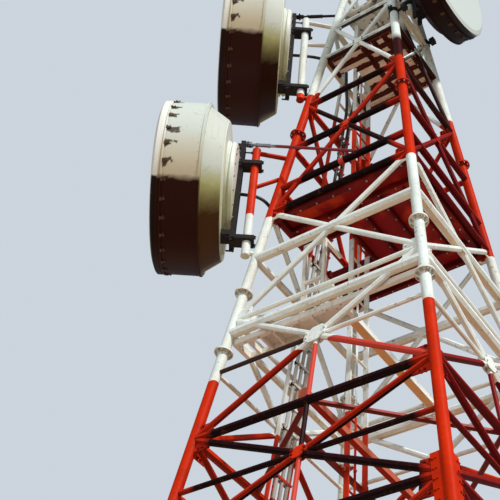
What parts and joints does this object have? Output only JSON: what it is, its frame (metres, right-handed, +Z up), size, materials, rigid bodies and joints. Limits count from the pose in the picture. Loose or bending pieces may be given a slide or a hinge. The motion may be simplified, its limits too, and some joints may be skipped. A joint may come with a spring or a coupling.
{
  "type": "lattice cell tower",
  "caption": "Tapering square lattice cell tower with banded paint, inner decks, climbing ladder and shrouded drum antennas on pipe mounts.",
  "frame": {"origin": "on the ground at the tower's axis, in the middle of the four base plates", "axes": "+Z up; -Y is the front side that the picture shows at the left, +X the right side"},
  "size_m": [5.3275, 5.2332, 17.59],
  "materials": {
    "steel_base": "dull galvanised coat with rust",
    "leg_paint": "bands of red and off-white paint, worn",
    "brace_paint": "bands of red and off-white paint, worn",
    "plan_paint": "bands of red and off-white paint, worn",
    "deck_white": "off-white paint with rust stains",
    "deck_red": "dark red paint, matt",
    "deck_cream": "cream paint, stained",
    "ladder_paint": "bands of red and off-white paint",
    "cable_black": "black cable jacket",
    "radome_white": "white radome skin",
    "drum_cream": "cream enamel, weathered",
    "drum_back": "cream enamel, weathered",
    "bracket_dark": "dark galvanised steel",
    "mount_paint": "bands of red and off-white paint",
    "strut_steel": "weathered steel rod"
  },
  "bodies": {
    "root": {"base_plates": "steel_base", "leg_front_left": "leg_paint", "leg_front_right": "leg_paint", "leg_back_right": "leg_paint", "leg_back_left": "leg_paint", "bracing_front_low": "brace_paint", "bracing_right_low": "brace_paint", "bracing_back_low": "brace_paint", "bracing_left_low": "brace_paint", "bracing_front_high": "brace_paint", "bracing_right_high": "brace_paint", "bracing_back_high": "brace_paint", "bracing_left_high": "brace_paint", "plan_brace_1": "plan_paint", "plan_brace_2": "plan_paint", "plan_brace_3": "plan_paint", "plan_brace_4": "plan_paint", "landing_deck": "deck_white", "middle_deck": "deck_red", "middle_deck_frame": "deck_red", "middle_deck_joists": "deck_red", "upper_deck": "deck_cream", "upper_deck_frame": "deck_cream", "top_deck": "deck_white", "ladder_low": "ladder_paint", "ladder_high": "ladder_paint", "hatch_guard": "deck_white", "cable_ladder": "ladder_paint", "feeder_cables": "cable_black", "drum1_radome": "radome_white", "drum1_shroud": "drum_cream", "drum1_reflector": "drum_back", "drum1_bracket": "bracket_dark", "drum1_mount": "mount_paint", "drum1_strut": "strut_steel", "drum2_radome": "radome_white", "drum2_shroud": "drum_cream", "drum2_reflector": "drum_back", "drum2_bracket": "bracket_dark", "drum2_mount": "mount_paint", "drum2_strut": "strut_steel", "drum3_radome": "radome_white", "drum3_shroud": "drum_cream", "drum3_reflector": "drum_back", "drum3_bracket": "bracket_dark", "drum3_mount": "mount_paint", "drum3_strut": "strut_steel"}
  },
  "joints": []
}
